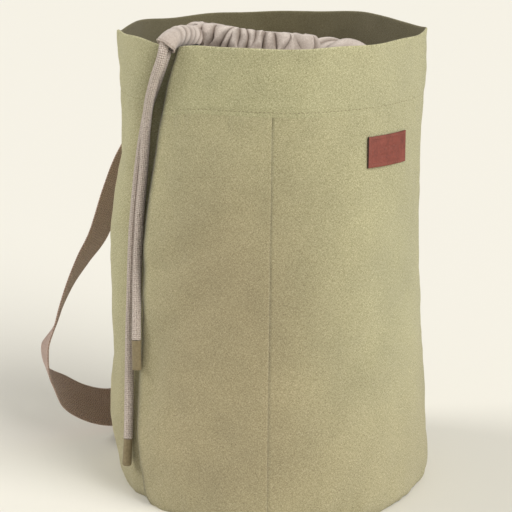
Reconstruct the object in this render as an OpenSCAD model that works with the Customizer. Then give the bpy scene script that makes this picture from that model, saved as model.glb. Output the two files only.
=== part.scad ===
// Fruit picking bag: a round canvas sack standing open, with a gathered
// cotton drawstring collar inside its mouth and a single webbing strap
// that hangs from the centre-back seam.
// Millimetres. +Z up, origin under the middle of the base, front is -Y.

/* [Sack] */
// Height of the mouth at the front
sack_h = 410; // [405:1:415]
// Half of the mouth's width, crease to crease
mouth_half_w = 138.5; // [137.5:0.5:139.5]
// Half of the mouth's depth, front to back
mouth_half_d = 120; // [119:0.5:121]
// How much further the base reaches to the front and back than the mouth
base_spread = 29; // [28:1:30]
// Thickness of the canvas, with its coating
canvas_t = 1.8; // [1.4:0.1:2]
// Depth of the doubled top band
band_depth = 57; // [55:1:59]

/* [Side pleat] */
// Depth of the pleat in the left side at the mouth
pleat_top = 24; // [22:1:25]
// Depth of the pleat at the base
pleat_base = 5; // [4:1:6]

/* [Lining and base] */
// Thickness of the cotton lining
lining_t = 1.2; // [1:0.1:1.4]
// Gap between the canvas and the lining, where the seams lie
lining_gap = 3; // [3:0.5:4]
// Thickness of the board that keeps the base flat
board_t = 2.5; // [2:0.5:2.5]

/* [Drawstring collar] */
// Half length of the half-closed oval ring
ring_half_l = 51; // [50:1:52]
// Half width of the oval ring
ring_half_w = 26; // [25:1:27]
// Outer radius of the gathered cord channel
channel_r = 6.5; // [6.3:0.1:7]
// Diameter of the drawcord
cord_d = 8.2; // [7.8:0.1:8.3]
// Diameter of the whipped cord tips
tip_d = 8.4; // [8.3:0.1:8.8]

/* [Strap] */
// Width of the webbing
strap_w = 38; // [36:1:38]
// Thickness of the webbing
strap_t = 2; // [1.6:0.1:2.2]

/* [Label] */
// Width of the leather label
label_w = 44; // [42:1:46]
// Height of the leather label
label_h = 26; // [24:1:28]
// Thickness of the leather
label_t = 2; // [1.5:0.1:2.2]

/* [Hidden] */

canvas_col = [0.70, 0.66, 0.50];
lining_col = [0.62, 0.57, 0.53];
strap_col = [0.42, 0.33, 0.29];

hem_f = 1 - band_depth / sack_h;   // hem line as a fraction of the height
lap_f = 0.02;             // how far the panels run up behind the band
band_t = 2.2;             // the band is two layers of canvas
band_lap = 3;             // the panels sit this far inside the band
label_deg = 46;           // where the label sits, round from the front
label_z = 321;            // height of the label's middle

// ---- the sack's outer surface, by angle from the front and height ----
function smooth(t) = let (c = max(0, min(1, t))) c * c * (3 - 2 * c);
function bump(v, w) = exp(-pow(v / w, 2));
function turn(a) = let (b = a - 360 * floor((a + 180) / 360)) b;
function below(v) = max(0, v);
// The pleat's edge runs down the left side and swings back at the base
function pleat_deg(f) =
    -52 + 50 * pow(below(0.3 - f), 2) + 68 * pow(below(f - 0.5), 2);
function pleat_depth(f) = pleat_base + (pleat_top - pleat_base) * smooth(f);
function foot(f) = 5 * pow(below(1 - f / 0.03), 2);
function half_w(f) = mouth_half_w + 7.5 * bump(f - 0.1, 0.22) - foot(f);
function half_d(f) =
    mouth_half_d + base_spread * pow(below(1 - f), 1.5) - foot(f);
// Soft full and hollow places in the standing cloth
function fullness(a, f) =
    5.5 * bump(turn(a + 92), 38) * bump(f - 0.47, 0.2)
    - 6 * bump(turn(a + 92), 40) * bump(f - 0.79, 0.13)
    - 8 * bump(turn(a + 95), 50) * bump(f - 0.02, 0.09)
    - 3.6 * bump(turn(a - 95), 40) * bump(f - 0.75, 0.19)
    + 1.5 * bump(turn(a - 95), 40) * bump(f - 0.3, 0.16)
    + 5 * bump(turn(a - 80), 50) * bump(f - 0.04, 0.1)
    + 7 * bump(turn(a - 10), 55) * bump(f, 0.3);
// The mouth's edge rises at the right crease and back and dips at the pleat
function rim_z(a) =
    sack_h + 1.5 * bump(turn(a), 60) + 3 * bump(turn(a - 95), 22)
    + 6 * bump(turn(a - 140), 28) + bump(turn(a + 95), 20)
    - 6 * bump(turn(a - pleat_deg(1) + 7), 9);
// The mouth flattens into a lens shape with a crease at each side
function lens(a, f) =
    smooth((f - 0.72) / 0.28) * (0.45 + 0.35 * smooth(turn(a) / 60));
function plain_xy(a, f) =
    let (w = half_w(f) + fullness(a, f), d = half_d(f) + fullness(a, f),
         m = lens(a, f), c = cos(a))
    [w * sin(a), -d * ((1 - m) * c + m * c * abs(c))];
function dent(a, f) =
    let (back = turn(pleat_deg(f) - a))
    back < 0 ? 0 : pleat_depth(f) * bump(back, 12 + 6 * f);
// Outer surface with a further inset towards the axis
function wall(a, f, inset = 0) =
    let (p = plain_xy(a, f), k = 1 - (dent(a, f) + inset) / norm(p))
    [p[0] * k, p[1] * k, f * rim_z(a)];

// ---- rows of points ----
function unit(v) = v / norm(v);
function steps(a, b, n) = [for (i = [0:n]) a + (b - a) * i / n];
// Moves a row of points inward by its own plan normal
function tangent(row, j, closed) =
    let (n = len(row),
         p = row[closed ? (j + n - 1) % n : max(0, j - 1)],
         q = row[closed ? (j + 1) % n : min(n - 1, j + 1)])
    unit([q[0] - p[0], q[1] - p[1]]);
function inward(row, off, closed) =
    [for (j = [0:len(row) - 1])
        let (t = tangent(row, j, closed))
        row[j] - off * [t[1], -t[0], 0]];
// The pleat's hidden wall, from its floor out to its edge
function pleat_wall(f, inset, tuck = 0) =
    [for (s = [1, 0.5]) wall(pleat_deg(f) + tuck + 0.01, f,
                             inset + pleat_depth(f) * s)];
// Closer points where the cloth turns into the pleat behind its edge
function near_fold(f, inset, tuck) =
    [for (b = [34, 28, 22, 17, 12, 8, 4.5, 1.5])
        wall(360 + pleat_deg(f) - b - tuck, f, inset)];
function flatten(rows) = [for (r = rows) each r];

// ---- closed skins between an outer and an inner set of rows ----
module skin(outer, inner, closed = false) {
    n = len(outer);
    m = len(outer[0]);
    k = n * m;
    last = closed ? m - 1 : m - 2;
    function at(i, j) = i * m + j % m;
    polyhedron(
        points = concat(flatten(outer), flatten(inner)),
        faces = concat(
            [for (i = [0:n - 2], j = [0:last]) each [
                [at(i, j), at(i + 1, j), at(i + 1, j + 1)],
                [at(i, j), at(i + 1, j + 1), at(i, j + 1)],
                [k + at(i, j), k + at(i + 1, j + 1), k + at(i + 1, j)],
                [k + at(i, j), k + at(i, j + 1), k + at(i + 1, j + 1)]]],
            [for (j = [0:last]) each [
                [at(0, j), at(0, j + 1), k + at(0, j + 1)],
                [at(0, j), k + at(0, j + 1), k + at(0, j)],
                [at(n - 1, j + 1), at(n - 1, j), k + at(n - 1, j)],
                [at(n - 1, j + 1), k + at(n - 1, j), k + at(n - 1, j + 1)]]],
            closed ? [] : [for (i = [0:n - 2]) each [
                [at(i + 1, 0), at(i, 0), k + at(i, 0)],
                [at(i + 1, 0), k + at(i, 0), k + at(i + 1, 0)],
                [at(i, m - 1), at(i + 1, m - 1), k + at(i + 1, m - 1)],
                [at(i, m - 1), k + at(i + 1, m - 1), k + at(i, m - 1)]]]),
        convexity = 8);
}

// A solid bar through a list of rings of points
module bar(rings) {
    n = len(rings);
    m = len(rings[0]);
    polyhedron(
        points = flatten(rings),
        faces = concat(
            [for (i = [0:n - 2], j = [0:m - 1]) each [
                [i * m + j, (i + 1) * m + j, (i + 1) * m + (j + 1) % m],
                [i * m + j, (i + 1) * m + (j + 1) % m, i * m + (j + 1) % m]]],
            [[for (j = [0:m - 1]) j]],
            [[for (j = [m - 1:-1:0]) (n - 1) * m + j]]),
        convexity = 8);
}

// ---- routes and the rings that follow them ----
function spline(p, i, t) =
    let (n = len(p), a = p[max(0, i - 1)], b = p[i], c = p[i + 1],
         d = p[min(n - 1, i + 2)])
    0.5 * (2 * b + (c - a) * t + (2 * a - 5 * b + 4 * c - d) * t * t
           + (3 * b - a - 3 * c + d) * t * t * t);
function smooth_route(p, n) =
    concat([for (i = [0:len(p) - 2], k = [0:n - 1]) spline(p, i, k / n)],
           [p[len(p) - 1]]);
function along(p, i) =
    unit(p[min(len(p) - 1, i + 1)] - p[max(0, i - 1)]);
// Rings of an oval section: half sizes ru sideways and rv across
function tube_rings(p, ru, rv, sides, ref) =
    [for (i = [0:len(p) - 1])
        let (t = along(p, i), u = unit(cross(ref, t)), v = cross(t, u))
        [for (s = [0:sides - 1])
            p[i] + ru * cos(360 * s / sides) * u
                 + rv * sin(360 * s / sides) * v]];

// ---- the canvas ----
function panel_row(f, from, to, n, start = []) =
    concat(start, [for (a = steps(from, to, n)) wall(a, f, band_lap)]);
panel_fs = [0, 0.02, 0.06, 0.14, 0.24, 0.35, 0.47, 0.59, 0.7, 0.8,
            hem_f + lap_f];

module panel(rows) {
    skin(rows, [for (r = rows) inward(r, canvas_t, false)]);
}

// Behind the band the panels draw back from the pleat's fold, in degrees
function tuck_deg(f) = 1.5 * smooth((f - 0.7) / 0.14);
module front_left_panel() {
    color(canvas_col)
    panel([for (f = panel_fs) let (tuck = tuck_deg(f))
        panel_row(f, pleat_deg(f) + tuck + 0.02, -0.15, 8,
                  pleat_wall(f, band_lap, tuck))]);
}

module front_right_panel() {
    color(canvas_col)
    panel([for (f = panel_fs) panel_row(f, 0.15, 89.85, 11)]);
}

module back_right_panel() {
    color(canvas_col)
    panel([for (f = panel_fs) panel_row(f, 90.15, 179.85, 11)]);
}

module back_left_panel() {
    color(canvas_col)
    panel([for (f = panel_fs)
        concat(panel_row(f, 180.15, 320 + pleat_deg(f), 13),
               near_fold(f, band_lap, 2 * tuck_deg(f)))]);
}

// The doubled band round the mouth, with the pleat carried through it
module top_band() {
    rows = [for (f = [hem_f, 0.9, 0.95, 1])
        concat(pleat_wall(f, 0),
               [for (a = steps(pleat_deg(f) + 0.02, pleat_deg(f) + 320, 46))
                   wall(a, f)],
               near_fold(f, 0, 0))];
    color(canvas_col)
    skin(rows, [for (r = rows) inward(r, band_t, true)], closed = true);
}

// ---- the base ----
module disc(inset, t) {
    linear_extrude(t)
    polygon([for (a = [0:6:354])
        let (p = plain_xy(a, 0.02), k = 1 - inset / norm(p))
        [p[0] * k, p[1] * k]]);
}

base_inset = 18;          // clears the pleat's floor at the base
module base_panel() {
    color(canvas_col) disc(base_inset, canvas_t);
}

board_z = canvas_t + 0.2;
module base_board() {
    color("tan") translate([0, 0, board_z]) disc(base_inset + 1, board_t);
}

lining_z = board_z + board_t + 0.2;
module lining_base() {
    color(lining_col) translate([0, 0, lining_z]) disc(base_inset, lining_t);
}

// ---- the cotton lining and the collar ----
// The lining follows the canvas loosely past both sides of the pleat
function lining_pt(a, f, inset) =
    let (back = turn(pleat_deg(f) - a), p = plain_xy(a, f),
         fold = pleat_depth(f) * bump(back, back < 0 ? 9 : 14 + 10 * f),
         k = 1 - (fold + inset) / norm(p))
    [p[0] * k, p[1] * k, f * rim_z(a)];
lining_inset = band_lap + canvas_t + lining_gap;
around = [for (a = [0:7.5:352.5]) a];

module lining_wall() {
    fs = [0.02, 0.1, 0.25, 0.42, 0.6, 0.75, hem_f];
    rows = [for (f = fs) [for (a = around) lining_pt(a, f, lining_inset)]];
    color(lining_col)
    skin(rows, [for (r = rows) inward(r, lining_t, true)], closed = true);
}

// Ring of the half-closed mouth: an oval that leans down to the right
ring_mid = [-18, -12, 409];
ring_lean = 6;            // drop of the ring's right end
function ring_pt(a, grow = 0) =
    ring_mid + [(ring_half_l + grow) * cos(a), (ring_half_w + grow) * sin(a),
                -ring_lean * cos(a)];

// The skirt rises from the hem line inside the band to the ring
module collar_skirt() {
    top_f = hem_f + 0.004;
    rows = [for (s = [0, 0.12, 0.35, 0.65, 1])
        [for (a = around)
            let (low = lining_pt(a, top_f, lining_inset + 1),
                 high = ring_pt(a - 90) - [0, 0, channel_r + 3],
                 puff = [0, 0, 10 * sin(180 * s)])
            low + (high - low) * s + puff]];
    color(lining_col)
    skin(rows, [for (r = rows) inward(r, lining_t, true)], closed = true);
}

// The channel runs round the ring from the channel end and back to it
ring_gap_deg = 12;
ring_route = [for (a = steps(180 + ring_gap_deg, 540 - ring_gap_deg, 36))
    ring_pt(a)];

module collar_channel() {
    color(lining_col)
    skin(tube_rings(ring_route, channel_r, channel_r, 10, [0, 0, 1]),
         tube_rings(ring_route, cord_d / 2 + 0.7, cord_d / 2 + 0.7, 10,
                    [0, 0, 1]), closed = true);
}

// The channel's loose end hangs out over the mouth's edge at the pleat
end_route = [[-67, -14, 418], [-70, -32, 418.6], [-74, -52, 419],
             [-79.1, -70, 417.6], [-84.5, -82, 415.1], [-89.4, -88, 410.4]];
end_points = smooth_route(end_route, 3);
mouth_half_side = 7;      // half width of the channel end
mouth_half_deep = 11.4;   // half depth, for two cords one behind the other
module channel_end() {
    wall_t = 1.6;
    color(lining_col)
    skin(tube_rings(end_points, mouth_half_deep, mouth_half_side, 14,
                    [1, 0, 0]),
         tube_rings(end_points, mouth_half_deep - wall_t,
                    mouth_half_side - wall_t, 14, [1, 0, 0]), closed = true);
}

// ---- the drawcord ----
// Both runs pass through the channel end, one above the other, and the
// cord goes once round the ring between them
run_up = [[-89.9, -90.4, 414.4], [-84.6, -84, 419.2],
          [-79.1, -71, 422.2], [-74, -52, 423.2], [-70, -32, 422.5],
          [-67, -17, 418.5]];
run_down = [[-88.5, -85.2, 406.4], [-84.4, -79.6, 411.2],
            [-79.1, -69, 413.2], [-74, -52, 413.9], [-70, -33, 413.8],
            [-67, -19, 412.5]];

module drawcord() {
    loop = [for (a = steps(196, 524, 32)) ring_pt(a)];
    color([0.78, 0.72, 0.66])
    bar(tube_rings(concat(smooth_route(run_up, 2), loop,
                          [for (i = [10:-1:0])
                              smooth_route(run_down, 2)[i]]),
                   cord_d / 2, cord_d / 2, 8, [0.2, 0.1, 1]));
}

// Free lengths outside, settled against the side of the sack
route_a = [[-90.3, -91.2, 413.7], [-91.2, -93.2, 409.4],
           [-92.2, -94.9, 404.2], [-93.7, -95.1, 398.2], [-96.1, -93.4, 391],
           [-98.9, -90, 382.6], [-101.7, -86, 372], [-104.2, -81.5, 361.5],
           [-106.2, -76.5, 348.8], [-107.8, -72.5, 333.6],
           [-108.8, -69.5, 316.8], [-110.2, -68, 298.8],
           [-111.9, -67.5, 279.1], [-113.6, -67.5, 259.3],
           [-114.6, -67.5, 241.3], [-115.5, -68.5, 224.3],
           [-116.1, -71.5, 205.1], [-116.1, -77, 186.6],
           [-116.1, -83.5, 169.3], [-116, -88.5, 149.8]];
route_b = [[-88.8, -86, 405.4], [-89.9, -86.9, 401.1],
           [-91.6, -86.1, 395.8], [-94.1, -82.2, 388], [-97.4, -76.5, 378.2],
           [-101.3, -69.5, 366.8], [-105.5, -63.5, 353.6],
           [-109.3, -60.5, 335.3], [-112.7, -59, 314.5],
           [-115.7, -58.5, 290.6], [-118.1, -58.5, 267],
           [-120, -59, 244.5], [-121.1, -60, 222.9], [-121.7, -61.5, 203.1],
           [-122.2, -64, 181.7], [-123.1, -66, 153.6], [-123.4, -70, 126.8],
           [-123.6, -74.5, 98.3], [-123.8, -78, 75.9],
           [-124.2, -80.5, 54.9]];
end_a = [-115.3, -91.5, 123.5];
end_b = [-125.7, -81, 29.7];

// A free cord starts in a rounded nose so that it can swing at its exit
module free_cord(route) {
    p = smooth_route(route, 2);
    rings = tube_rings(p, cord_d / 2, cord_d / 2, 8, [1, 0, 0]);
    t = along(p, 0);
    function nose(k, back) =
        [for (q = rings[0]) p[0] + (q - p[0]) * k - t * back];
    bar(concat([nose(0.2, 0), nose(0.7, -0.7)],
               [for (i = [1:len(rings) - 1]) rings[i]]));
}

// Whipped tip: a plain barrel with eased ends
module tip(from, to) {
    t = unit(to - from);
    len = norm(to - from);
    p = [for (s = [0.1, 1, len - 1, len]) from + t * s];
    r = tip_d / 2;
    rings = [for (i = [0:3])
        let (k = (i == 0 || i == 3) ? 0.86 : 1)
        tube_rings(p, r * k, r * k, 12, [1, 0, 0])[i]];
    bar(rings);
}

module cord_a() { color([0.78, 0.72, 0.66]) free_cord(route_a); }
module cord_b() { color([0.78, 0.72, 0.66]) free_cord(route_b); }
module cord_a_tip() {
    color([0.48, 0.43, 0.31]) tip(route_a[len(route_a) - 1], end_a);
}
module cord_b_tip() {
    color([0.48, 0.43, 0.31]) tip(route_b[len(route_b) - 1], end_b);
}

// ---- the strap ----
// Middle line, then the direction from its front edge to its back edge
strap_route = [[-2.5, 130, 333.5], [-20, 131.5, 333], [-36, 132, 332],
    [-64, 129, 328], [-95, 118, 317], [-120, 107, 296], [-137, 98, 270],
    [-149, 90, 241], [-163, 82, 202], [-177, 74, 179], [-188, 66, 159],
    [-197, 58, 137], [-203, 52, 118], [-212, 46, 97], [-210, 50, 70],
    [-196, 61, 48], [-178, 74, 32], [-156, 89, 22], [-128, 107, 20],
    [-95, 126, 21], [-60, 141, 21], [-36, 148.5, 21], [-20, 152, 21],
    [-2.5, 153, 21]];
strap_across = [[0, 0, -1], [0, 0, -1], [0, 0.05, -1], [0.05, 0.2, -1],
    [0.2, 0.45, -0.9], [0.35, 0.62, -0.7], [0.45, 0.72, -0.52],
    [0.45, 0.78, -0.42], [0.35, 0.85, -0.4], [0.2, 0.9, -0.38],
    [0.05, 0.93, -0.35], [-0.05, 0.95, -0.32], [-0.11, 0.95, -0.3],
    [-0.28, 0.92, -0.27], [-0.11, 0.95, -0.25], [0.2, 0.9, 0.25],
    [0.27, 0.83, 0.46], [0.18, 0.7, 0.7], [0.05, 0.4, 0.92],
    [0, 0.1, 1], [0, 0, 1], [0, 0, 1], [0, 0, 1], [0, 0, 1]];

module strap() {
    p = smooth_route(strap_route, 3);
    w = smooth_route(strap_across, 3);
    rings = [for (i = [0:len(p) - 1])
        let (t = along(p, i), a = unit(w[i] - (w[i] * t) * t),
             n = cross(t, a), h = strap_w / 2, g = strap_t / 2)
        [p[i] + h * a + g * n, p[i] - h * a + g * n,
         p[i] - h * a - g * n, p[i] + h * a - g * n]];
    color(strap_col) bar(rings);
}

// The strap's sewn ends come out of the centre-back seam
module strap_end(z, from, to) {
    color(strap_col)
    translate([-strap_t / 2, from, z - strap_w / 2])
    cube([strap_t, to - from, strap_w]);
}
module strap_top_end() { strap_end(333.5, 120.6, 131); }
module strap_bottom_end() { strap_end(21, 146.2, 154); }

// ---- the leather label ----
module leather_label() {
    dz = label_h / 2 / sack_h;
    da = label_w / 2 / 2.13;
    rows = [for (s = [-1, 0, 1])
        [for (a = steps(label_deg - da, label_deg + da, 6))
            wall(a, label_z / sack_h + s * dz, band_lap - 0.2 - label_t)]];
    color([0.55, 0.32, 0.27])
    skin(rows, [for (r = rows) inward(r, label_t, false)]);
}

front_left_panel();
front_right_panel();
back_right_panel();
back_left_panel();
top_band();
base_panel();
base_board();
lining_wall();
lining_base();
leather_label();
strap_top_end();
strap_bottom_end();
collar_skirt();
collar_channel();
channel_end();
drawcord();
cord_a();
cord_a_tip();
cord_b();
cord_b_tip();
strap();
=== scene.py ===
"""Fruit picking bag: the looks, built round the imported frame.

Shapes are worked out in millimetres with the same formulas as the part's
source and go into meshes in metres. Front is -Y, +Z is up.
"""
import math

import bpy
import numpy as np
from mathutils import Matrix, Vector


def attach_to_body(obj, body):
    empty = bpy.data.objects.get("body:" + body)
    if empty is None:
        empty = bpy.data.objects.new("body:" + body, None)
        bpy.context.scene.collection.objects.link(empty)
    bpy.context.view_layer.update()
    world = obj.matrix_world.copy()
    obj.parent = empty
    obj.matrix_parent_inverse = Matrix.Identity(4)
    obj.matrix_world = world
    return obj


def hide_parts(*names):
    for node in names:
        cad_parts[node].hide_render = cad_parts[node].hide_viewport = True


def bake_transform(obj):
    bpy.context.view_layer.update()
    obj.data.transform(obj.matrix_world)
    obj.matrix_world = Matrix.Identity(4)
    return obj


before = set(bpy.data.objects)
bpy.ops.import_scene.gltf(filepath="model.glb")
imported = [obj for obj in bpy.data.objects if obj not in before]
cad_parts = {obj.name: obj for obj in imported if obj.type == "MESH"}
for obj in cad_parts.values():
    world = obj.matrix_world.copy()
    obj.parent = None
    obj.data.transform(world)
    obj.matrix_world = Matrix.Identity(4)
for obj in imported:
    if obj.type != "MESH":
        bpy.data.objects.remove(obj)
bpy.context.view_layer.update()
MM = 0.001

# ---------------------------------------------------------------- camera
CAMERA_AT = (-0.0106, -1.600, 0.641)
CAMERA_DOWN = 15.3
CAMERA_TURN = 0.05
CAMERA_ROLL = 0.7
CAMERA_LENS = 127.3


def make_camera():
    data = bpy.data.cameras.new("camera")
    data.lens = CAMERA_LENS
    data.sensor_width = 36.0
    camera = bpy.data.objects.new("camera", data)
    bpy.context.scene.collection.objects.link(camera)
    side = Matrix.Rotation(math.radians(CAMERA_TURN), 4, "Z")
    tilt = side @ Matrix.Rotation(math.radians(90 - CAMERA_DOWN), 4, "X")
    roll = Matrix.Rotation(math.radians(CAMERA_ROLL), 4, "Z")
    camera.matrix_world = Matrix.Translation(CAMERA_AT) @ tilt @ roll
    bpy.context.scene.camera = camera


make_camera()

# ------------------------------------------------- sizes, in millimetres
SACK_H = 410.0
MOUTH_W, MOUTH_D, SPREAD = 138.5, 120.0, 29.0
BAND_DEPTH = 57.0
HEM_F = 1 - BAND_DEPTH / SACK_H
PLEAT_TOP, PLEAT_BASE = 24.0, 5.0
CANVAS_IN, CANVAS_T, BAND_T = 0.15, 1.5, 2.4
LINING_T, LINING_IN = 1.0, 7.8
CORD_D, TIP_D = 8.2, 8.2
STRAP_W, STRAP_T = 38.0, 1.8


# ------------------------------------------------------ the sack's shape
def smooth(t):
    t = np.clip(t, 0, 1)
    return t * t * (3 - 2 * t)


def bump(v, w):
    return np.exp(-((v / w) ** 2))


def turn(a):
    return (a + 180) % 360 - 180


def pleat_deg(f):
    low, high = np.clip(0.3 - f, 0, 1), np.clip(f - 0.5, 0, 1)
    return -52 + 50 * low**2 + 68 * high**2


def pleat_depth(f):
    return PLEAT_BASE + (PLEAT_TOP - PLEAT_BASE) * smooth(f)


def foot(f):
    return 5 * np.clip(1 - f / 0.03, 0, 1) ** 2


def fullness(a, f):
    left, right = turn(a + 92), turn(a - 95)
    return (
        5.5 * bump(left, 38) * bump(f - 0.47, 0.2)
        - 6 * bump(left, 40) * bump(f - 0.79, 0.13)
        - 8 * bump(turn(a + 95), 50) * bump(f - 0.02, 0.09)
        - 3.6 * bump(right, 40) * bump(f - 0.75, 0.19)
        + 1.5 * bump(right, 40) * bump(f - 0.3, 0.16)
        + 5 * bump(turn(a - 80), 50) * bump(f - 0.04, 0.1)
        + 7 * bump(turn(a - 10), 55) * bump(f, 0.3)
    )


def rim_z(a):
    return (
        SACK_H
        + 1.5 * bump(turn(a), 60)
        + 3 * bump(turn(a - 95), 22)
        + 6 * bump(turn(a - 140), 28)
        + bump(turn(a + 95), 20)
        - 6 * bump(turn(a - pleat_deg(1.0) + 7), 9)
    )


def plain_xy(a, f):
    grow = fullness(a, f) - foot(f)
    w = MOUTH_W + 7.5 * bump(f - 0.1, 0.22) + grow
    d = MOUTH_D + SPREAD * np.clip(1 - f, 0, 1) ** 1.5 + grow
    m = smooth((f - 0.72) / 0.28) * (0.45 + 0.35 * smooth(turn(a) / 60))
    r = np.radians(a)
    c = np.cos(r)
    return w * np.sin(r), -d * ((1 - m) * c + m * c * np.abs(c))


def dent(a, f):
    back = turn(pleat_deg(f) - a)
    wide = 8 + 7.5 * smooth(f / 0.5) - 6.5 * smooth((f - 0.68) / 0.2)
    return np.where(back < 0, 0, pleat_depth(f) * bump(back, wide))


def place(x, y, k, z):
    return np.stack([x * k, y * k, z + 0 * x], -1)


def wall(a, f, inset=0.0):
    """The sack's outer surface, set in by inset."""
    a, f = np.broadcast_arrays(np.asarray(a, float), np.asarray(f, float))
    x, y = plain_xy(a, f)
    k = 1 - (dent(a, f) + inset) / np.hypot(x, y)
    return place(x, y, k, f * rim_z(a))


def lining_at(a, f, inset):
    """The lining passes loosely over both sides of the pleat."""
    a, f = np.broadcast_arrays(np.asarray(a, float), np.asarray(f, float))
    back = turn(pleat_deg(f) - a)
    wide = np.where(back < 0, 9, 14 + 10 * f)
    x, y = plain_xy(a, f)
    k = 1 - (pleat_depth(f) * bump(back, wide) + inset) / np.hypot(x, y)
    return place(x, y, k, f * rim_z(a))


# ------------------------------------------------------------ soft noise
def ripple(seed, p, wave, n=24):
    """Smooth noise of about unit size over points p, from n sine waves."""
    r = np.random.default_rng(seed)
    out = 0
    for _ in range(n):
        k = r.normal(size=p.shape[-1])
        k *= 2 * math.pi / wave / np.linalg.norm(k) * r.uniform(0.6, 1.6)
        out = out + np.sin(p @ k + r.uniform(0, 6.28))
    return out / math.sqrt(n / 2)


def fold(a, z, at, size, lean, deep):
    """One soft fold: a long hump or hollow on the wall, in millimetres."""
    u = turn(a - at[0]) * 2.4
    v = z - at[1]
    c, s = math.cos(math.radians(lean)), math.sin(math.radians(lean))
    along, across = u * c + v * s, -u * s + v * c
    return deep * bump(along, size[0]) * bump(across, size[1])


# Place (degrees round, height), half sizes (along, across), lean, height
FOLDS = [
    ((-14, 352), (46, 26), 12, -3.2),
    ((-16, 300), (40, 20), -10, 1.2),
    ((9, 352), (62, 13), 78, 2.4),
    ((20, 318), (52, 15), 66, -1.8),
    ((-42, 222), (52, 13), 28, -2.6),
    ((-36, 250), (46, 12), 30, 1.6),
    ((-30, 180), (54, 15), 38, -1.8),
    ((-44, 120), (46, 11), 84, -1.8),
    ((-15, 70), (48, 30), 70, -3.4),
    ((6, 110), (60, 20), 80, 1.8),
    ((28, 60), (70, 22), 12, 1.8),
    ((35, 150), (80, 16), 30, -1.4),
    ((45, 235), (60, 18), -35, 1.5),
    ((60, 190), (60, 14), -40, -2.0),
    ((68, 120), (55, 16), -22, -1.6),
    ((30, 270), (48, 16), 40, -1.3),
    ((72, 290), (44, 14), -62, -1.6),
    ((-92, 305), (40, 13), -20, -2.2),
    ((-80, 240), (46, 14), 35, 1.6),
    ((-105, 140), (60, 18), -30, -2.4),
    ((-75, 60), (40, 16), 10, 1.6),
    ((120, 250), (70, 18), 30, -2.6),
    ((140, 130), (80, 20), -25, -2.6),
    ((170, 260), (60, 18), 60, 2.0),
    ((-150, 230), (70, 18), 35, -2.6),
    ((-135, 90), (60, 18), -40, 2.0),
    ((-165, 120), (60, 20), 20, -2.0),
    ((100, 60), (60, 18), 15, -2.0),
]


def creases(a, f, p):
    """How far the standing canvas is pushed out by its folds."""
    z = f * SACK_H
    out = 0.9 * ripple(3, p, 150) + 0.38 * ripple(5, p, 48)
    out = out + 0.12 * ripple(8, p, 17)
    for at, size, lean, deep in FOLDS:
        out = out + fold(a, z, at, size, lean, deep)
    hem = bump(z - (HEM_F * SACK_H - 4), 7)
    out = out + 0.32 * hem * ripple(13, p[..., :2], 10)
    base = bump(z, 22)
    out = out + 0.5 * base * ripple(17, p[..., :2], 19)
    return out


# ------------------------------------------------------------- materials
def tree_of(name):
    m = bpy.data.materials.new(name)
    m.use_nodes = True
    t = m.node_tree
    t.nodes.clear()
    out = t.nodes.new("ShaderNodeOutputMaterial")
    shader = t.nodes.new("ShaderNodeBsdfPrincipled")
    t.links.new(shader.outputs[0], out.inputs[0])
    return m, t, shader


def put(t, kind, inputs=(), **settings):
    n = t.nodes.new("ShaderNode" + kind)
    for k, v in settings.items():
        setattr(n, k, v)
    for k, v in dict(inputs).items():
        if isinstance(v, bpy.types.NodeSocket):
            t.links.new(v, n.inputs[k])
        else:
            n.inputs[k].default_value = v
    return n


def ramp(t, fac, stops):
    n = put(t, "ValToRGB", {0: fac})
    e = n.color_ramp.elements
    while len(e) < len(stops):
        e.new(0.5)
    for i, (at, col) in enumerate(stops):
        e[i].position = at
        e[i].color = (*col, 1) if len(col) == 3 else col
    return n.outputs[0]


def noise(t, vec, scale, detail=3.0, rough=0.55):
    n = put(t, "TexNoise", {"Vector": vec, "Scale": scale})
    n.inputs["Detail"].default_value = detail
    n.inputs["Roughness"].default_value = rough
    return n.outputs["Fac"]


def maths(t, op, a, b=0.0, c=0.0):
    return put(t, "Math", {0: a, 1: b, 2: c}, operation=op).outputs[0]


def mix(t, kind, fac, a, b):
    n = put(t, "Mix", data_type="RGBA", blend_type=kind)
    for socket, v in (("Factor_Float", fac), ("A_Color", a), ("B_Color", b)):
        target = next(i for i in n.inputs if i.identifier == socket)
        if isinstance(v, bpy.types.NodeSocket):
            t.links.new(v, target)
        else:
            target.default_value = (*v, 1) if isinstance(v, tuple) else v
    return next(o for o in n.outputs if o.identifier == "Result_Color")


def scaled(t, vec, scale):
    return put(t, "Mapping", {"Vector": vec, "Scale": scale}).outputs[0]


def mark(t, name):
    """A value kept at each point of the mesh, 0 where there is none."""
    return put(t, "Attribute", attribute_name=name).outputs["Fac"]


def yarn_bump(t, uv, pitch, strength, shader, extra=None):
    """A plain weave: two sets of yarns over and under each other."""
    k = 2 * math.pi / pitch
    xyz = put(t, "SeparateXYZ", {0: uv})
    wobble = maths(t, "MULTIPLY", noise(t, uv, 240.0), 1.6)
    u = maths(t, "MULTIPLY_ADD", xyz.outputs[0], k, wobble)
    v = maths(t, "MULTIPLY_ADD", xyz.outputs[1], k, wobble)
    weave = maths(t, "MULTIPLY", maths(t, "SINE", u), maths(t, "SINE", v))
    rough = noise(t, uv, 900.0, 2.0)
    height = maths(t, "MULTIPLY_ADD", rough, 1.6, weave)
    if extra is not None:
        height = maths(t, "ADD", height, extra)
    b = put(t, "Bump", {"Height": height, "Strength": strength})
    b.inputs["Distance"].default_value = 0.0006
    t.links.new(b.outputs[0], shader.inputs["Normal"])
    return weave


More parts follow.
